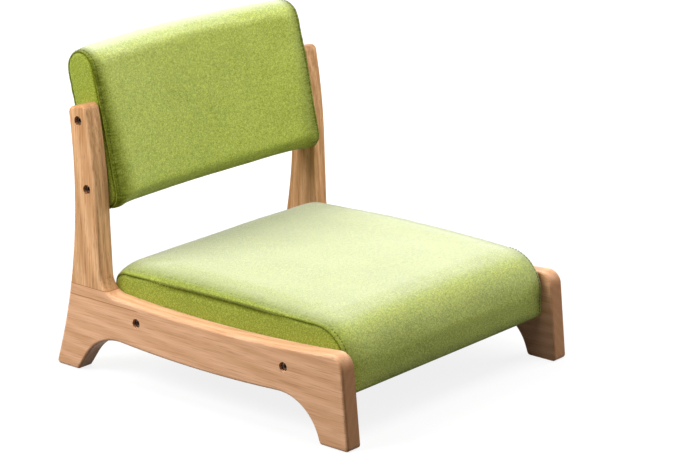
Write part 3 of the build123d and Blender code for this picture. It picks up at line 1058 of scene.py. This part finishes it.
@dataclass
class SeatCushion(Cushion):
    """The seat: a waterfall front, a crown, gussets at the sides and a flat underside."""

    nose: float = 52 * MM
    rear_round: float = 18 * MM
    hem: float = 5 * MM
    seam_drop: float = 9 * MM
    rear_fall: float = 4 * MM
    front_draw: float = 3 * MM
    bow: float = 4.5 * MM
    crown: float = 2 * MM
    underside: float = 4 * MM
    row_above: float = 8 * MM
    row_short: float = 4 * MM

    def rounds(self) -> Iterator[Round]:
        """Go round the block's long edges.

        Yields:
            The nose, the rear edge and the hem.
        """
        yield self.low.y, self.high.z, self.nose, 14
        yield self.high.y, self.high.z, self.rear_round, 6
        yield self.low.y, self.low.z, self.hem, 3

    def flats(self) -> Iterator[Flat]:
        """Go through the block's flat stretches.

        Yields:
            The whole width, the top, the front below the nose and the rear.
        """
        yield 0, self.low.x + self.cell, self.high.x - self.cell, BOTH_WAYS
        yield 1, self.low.y + self.nose, self.high.y - self.rear_round, BOTH_WAYS
        yield 2, self.low.z + self.hem, self.high.z - self.nose, (-1,)
        yield 2, self.low.z + self.cell, self.high.z - self.rear_round, (1,)

    def shaped(self, point: Vector) -> Vector:
        """Draw the sides in to the seams, crown the top and let the cover hang slack.

        Args:
            point: a point of the plain block.

        Returns:
            Its place on the slack cushion.
        """
        draw = self.draw(point.x)
        loose = self.slack * (1 - draw)
        straight = self.high.z - self.nose
        upper = held_share((point.z - self.low.z - self.hem) / (straight - self.low.z - self.hem))
        top = eased((point.z - self.high.z + self.rear_round) / self.rear_round)
        back = (point.y - self.low.y) / (self.high.y - self.low.y)
        ends = (self.low.y + self.nose, self.high.y - self.rear_round)
        share = (2 * point.y - ends[0] - ends[1]) / (ends[1] - ends[0])
        rise = self.bow * max(0.0, 1 - share * share) + self.crown * (1 - (point.x / self.half) ** 2)
        sink = self.seam_drop * draw + self.rear_fall * draw * back + loose
        front = eased(1 - (point.y - self.low.y) / self.nose)
        rear = eased(1 - (self.high.y - point.y) / self.rear_round) * upper
        pull = (self.front_draw * draw + loose) * front * min(1.0, upper + 0.5) - loose * rear
        return point + Vector((0.0, pull, top * rise - upper * sink * eased(upper)))

    def held(self, point: Vector) -> bool:
        """The gussets and the underside stay."""
        return self.half - abs(point.x) < self.grip or point.z < self.low.z + self.grip

    def resting(self, point: Vector) -> bool:
        """The underside is flat on the frame."""
        return point.z < self.low.z + self.underside

    def stitched(self, point: Vector) -> bool:
        """The row runs over the top and down the front."""
        return point.z > self.low.z + self.row_above and point.y < self.high.y - self.row_short


@dataclass
class BackCushion(Cushion):
    """The back: leaning, curved in plan, with a round top and gussets at its ends."""

    roll: float = 36 * MM
    cell: float = 5 * MM
    # Stronger, wider painted shade beside the back's seams.
    shade: float = 0.78
    painted_shade_width: float = 30 * MM
    middle: Vector = field(default_factory=Vector)
    tilt: float = math.radians(14.0)
    radius: float = 1000 * MM
    top_share: float = 0.98
    bottom_round: float = 18 * MM
    seam_draw: float = 5 * MM
    crown: float = 4 * MM
    bulge: float = 2.5 * MM
    ear: float = 4.5 * MM
    tuck: float = 4 * MM

    @property
    def half_depth(self) -> float:
        """Half the cushion's thickness."""
        return (self.high.y - self.low.y) / 2

    def rounds(self) -> Iterator[Round]:
        """Go round the block's long edges.

        Yields:
            Both edges of the round top, then those of the softer bottom.
        """
        for y in (self.low.y, self.high.y):
            yield y, self.high.z, self.half_depth * self.top_share, 9
        for y in (self.low.y, self.high.y):
            yield y, self.low.z, self.bottom_round, 6

    def flats(self) -> Iterator[Flat]:
        """Go through the block's flat stretches.

        Yields:
            The whole width, the bottom between its rounds, and both faces.
        """
        yield 0, self.low.x + self.cell, self.high.x - self.cell, BOTH_WAYS
        yield 1, self.low.y + self.bottom_round, self.high.y - self.bottom_round, BOTH_WAYS
        yield 2, self.low.z + self.bottom_round, self.high.z - self.high.y, BOTH_WAYS

    def shaped(self, point: Vector) -> Vector:
        """Draw in the ends, bend the pad in plan, lean it and carry it to its place.

        Args:
            point: a point of the plain block.

        Returns:
            Its place on the slack cushion.
        """
        draw = self.draw(point.x)
        shrink = self.seam_draw * draw + self.slack * (1 - draw)
        tall = (point.z - self.low.z) / (self.high.z - self.low.z)
        height = point.z + shrink * (1 - 2 * tall) + self.crown * tall * (1 - (point.x / self.half) ** 2)
        height -= self.ear * eased(1 - tall * 4) * eased(draw * 3 + 0.2)
        front = eased(0.5 - point.y / (2 * self.half_depth))
        depth = point.y * (1 - shrink / self.half_depth)
        depth -= self.bulge * front * math.sin(math.pi * held_share(tall))
        depth += self.tuck * front * draw * eased(1.2 - tall)
        depth += math.sqrt(self.radius ** 2 - point.x ** 2) - math.sqrt(self.radius ** 2 - self.half ** 2)
        lean = Matrix.Rotation(-self.tilt, 3, "X")
        return self.middle + lean @ Vector((point.x, depth, height))

    def held(self, point: Vector) -> bool:
        """The end gussets stay."""
        return self.half - abs(point.x) < self.grip

    def stitched(self, point: Vector) -> bool:
        """The row runs all round."""
        return True

    def spread(self, point: Vector) -> float:
        """The band beside the seam, with its gathers and painted shade, is widest at the lower corners."""
        return 0.8 + 0.8 * eased(0.6 - (point.z - self.middle.z) / (self.high.z - self.low.z))


@dataclass
class Seat:
    """Seat: frame, cushion and dust cover."""

    cloth: str = "seat_cover"
    foam: str = "seat_foam"
    dust: str = "seat_dust_cover"
    dust_cells: int = 40
    dust_thickness: float = 0.5 * MM
    dust_gap: float = 0.1 * MM
    sag: float = 0.2 * MM
    sag_run: float = 40 * MM

    def build(self) -> None:
        """Dress the frame, make the cushion and close it from below."""
        for node in ("seat_left_rail", "seat_right_rail", "seat_centre_rail"):
            dress(node, Finishes.LONG_TIMBER)
        for node in ("seat_front_rail", "seat_rear_rail"):
            dress(node, Finishes.CROSS_TIMBER)
        dress("seat_board", Finishes.PLYWOOD)
        low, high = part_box(self.cloth)
        cushion = SeatCushion("seat_cushion", low, high)
        cushion.high = high - Vector((0.0, 0.0, cushion.bow + cushion.crown))
        cushion.build(self.cloth, self.foam)
        self.close()

    def close(self) -> bpy.types.Object:
        """Stretch the dust cover under the frame.

        Returns:
            The dust cover.
        """
        low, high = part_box(self.dust)
        middle, size = (low + high) / 2, high - low
        shape = bmesh.new()
        place = Matrix.Translation((middle.x, middle.y, high.z))
        place = place @ Matrix.Diagonal((size.x / 2, size.y / 2, 1.0, 1.0))
        cells = self.dust_cells
        bmesh.ops.create_grid(shape, x_segments=cells, y_segments=cells, size=1.0, matrix=place)
        for vert in shape.verts:
            edge = min(size.x / 2 - abs(vert.co.x - middle.x), size.y / 2 - abs(vert.co.y - middle.y))
            vert.co.z -= self.sag * eased(edge / self.sag_run) + self.dust_gap
        bmesh.ops.solidify(shape, geom=shape.faces[:], thickness=self.dust_thickness)
        bmesh.ops.recalc_face_normals(shape, faces=shape.faces[:])
        sheet = add_piece("seat_dust_cloth", shape, Finishes.FELT)
        settle_on(sheet, "dust_cloth", self.dust)
        return sheet


@dataclass
class Back:
    """Back: battens, bent board and cushion."""

    cloth: str = "back_cover"
    foam: str = "back_foam"
    below: float = 73.5 * MM
    above: float = 134 * MM
    thickness: float = 54 * MM

    def build(self) -> None:
        """Dress the frame and make the cushion."""
        for node in ("back_left_batten", "back_right_batten"):
            dress(node, Finishes.BATTEN)
        dress("back_board", Finishes.PLYWOOD)
        low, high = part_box(self.cloth)
        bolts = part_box("back_bolts")
        cushion = BackCushion(
            "back_cushion",
            Vector((low.x, -self.thickness / 2, -self.below)),
            Vector((high.x, self.thickness / 2, self.above)),
            middle=(bolts[0] + bolts[1]) / 2,
        )
        cushion.build(self.cloth, self.foam)


@dataclass
class Sides:
    """Both sides: panels, posts and the dowels between them."""

    def build(self) -> None:
        """Dress the wood."""
        for side in ("left", "right"):
            dress(f"{side}_side_panel", Finishes.PANEL)
            dress(f"{side}_back_post", Finishes.POST)
            dress(f"{side}_post_dowels", Finishes.DOWEL)


@dataclass
class Fastenings:
    """Bolts and the inserts that they screw into."""

    def build(self) -> None:
        """Dress the metal."""
        for cushion in ("seat", "back"):
            dress(f"{cushion}_bolts", Finishes.STEEL)
            dress(f"{cushion}_inserts", Finishes.BRASS)


@dataclass(frozen=True)
class Lamp:
    """A soft square lamp aimed at the chair."""

    name: str
    place: tuple[float, float, float]
    size: float
    power: float
    aim: tuple[float, float, float] = (0.0, 0.0, 0.15)

    def build(self) -> None:
        """Hang the lamp."""
        light = bpy.data.lights.new(self.name, "AREA")
        light.size = self.size
        light.energy = self.power
        lamp = bpy.data.objects.new(self.name, light)
        lamp.location = self.place
        lamp.rotation_euler = (Vector(self.aim) - Vector(self.place)).to_track_quat("-Z", "Y").to_euler()
        bpy.context.scene.collection.objects.link(lamp)


@dataclass
class Studio:
    """Pale floor, soft lamps and a white surround."""

    floor_size: float = 9.0
    floor_colour: Colour = (0.15, 0.15, 0.15, 1.0)
    floor_glow: float = 0.85
    floor_far: float = 0.15
    far_run: tuple[float, float] = (0.45, 1.1)
    white: Colour = (1.0, 1.0, 1.0, 1.0)
    surround: float = 0.04
    lamps: tuple[Lamp, ...] = (
        Lamp("right_lamp", (1.3, -1.1, 1.15), 0.8, 8.0),
        Lamp("side_lamp", (2.4, -0.55, 1.0), 0.9, 27.0),
        Lamp("top_lamp", (0.0, -0.5, 2.1), 1.0, 23.5),
        Lamp("left_lamp", (-1.5, 0.8, 1.6), 1.1, 54.0),
        Lamp("rear_lamp", (1.3, 1.1, 1.4), 1.6, 27.0),
    )

    def build(self) -> None:
        """Set everything up."""
        self.floor()
        self.world()
        for lamp in self.lamps:
            lamp.build()

    def floor(self) -> None:
        """Lay the floor, which shows white where it is lit and keeps the shadow."""
        shape = bmesh.new()
        bmesh.ops.create_grid(shape, x_segments=2, y_segments=2, size=self.floor_size / 2)
        mesh = bpy.data.meshes.new("floor")
        shape.to_mesh(mesh)
        shape.free()
        paint = Paint.on_material("pale_floor")
        diffuse = paint.node("ShaderNodeBsdfDiffuse", inputs={"Color": self.floor_colour})
        x, y, _ = paint.split(paint.place())
        far = (x * x + y * y).root().ease(*self.far_run)
        strength = paint.seen() * (self.floor_glow + far * self.floor_far)
        glow = paint.node("ShaderNodeEmission", inputs={"Strength": strength})
        both = paint.node("ShaderNodeAddShader", inputs={0: diffuse.outputs[0], 1: glow.outputs[0]})
        mesh.materials.append(paint.finish(both.outputs[0]))
        floor = bpy.data.objects.new("floor", mesh)
        bpy.context.scene.collection.objects.link(floor)
        floor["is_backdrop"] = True

    def world(self) -> None:
        """White to the eye, softer as a light."""
        paint = Paint(bpy.data.worlds.new("surround"), "ShaderNodeOutputWorld")
        strength = paint.seen().math("MAXIMUM", self.surround)
        background = paint.node("ShaderNodeBackground", inputs={"Color": self.white, "Strength": strength})
        bpy.context.scene.world = paint.finish(background.outputs[0])


@dataclass
class PhotoCamera:
    """The camera of the photograph."""

    azimuth: float = math.radians(-49.8)
    elevation: float = math.radians(17.25)
    distance: float = 3.525
    target: Vector = field(default_factory=lambda: Vector((0.0, -54.4, 180.1)) * MM)
    lens: float = 144.8
    sensor: float = 36.0
    clip: tuple[float, float] = (0.05, 60.0)

    def build(self) -> None:
        """Place the camera and make it the scene's own."""
        flat = math.cos(self.elevation)
        side, ahead = math.sin(self.azimuth) * flat, math.cos(self.azimuth) * flat
        back = Vector((side, -ahead, math.sin(self.elevation)))
        lens = bpy.data.cameras.new("photo_camera")
        lens.lens = self.lens
        lens.sensor_width = self.sensor
        lens.clip_start, lens.clip_end = self.clip
        camera = bpy.data.objects.new("photo_camera", lens)
        camera.location = self.target + back * self.distance
        camera.rotation_euler = (-back).to_track_quat("-Z", "Y").to_euler()
        bpy.context.scene.collection.objects.link(camera)
        bpy.context.scene.camera = camera


def write_sizes() -> None:
    """Put the CAD box and the dressed chair's box into lists."""
    boxes = {"cad": CAD_BOX, "visual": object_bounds()}
    lists = {name: [list(low), list(high)] for name, (low, high) in boxes.items()}


def main() -> None:
    """Build the chair's parts in order, then the studio and the camera."""
    logging.basicConfig(level=logging.INFO, format="%(message)s")
    bpy.context.scene.view_settings.view_transform = "Standard"
    for part in (Sides(), Seat(), Back(), Fastenings(), Studio(), PhotoCamera()):
        LOG.info("building %s", type(part).__name__)
        part.build()
    write_sizes()


if __name__ == "__main__":
    main()
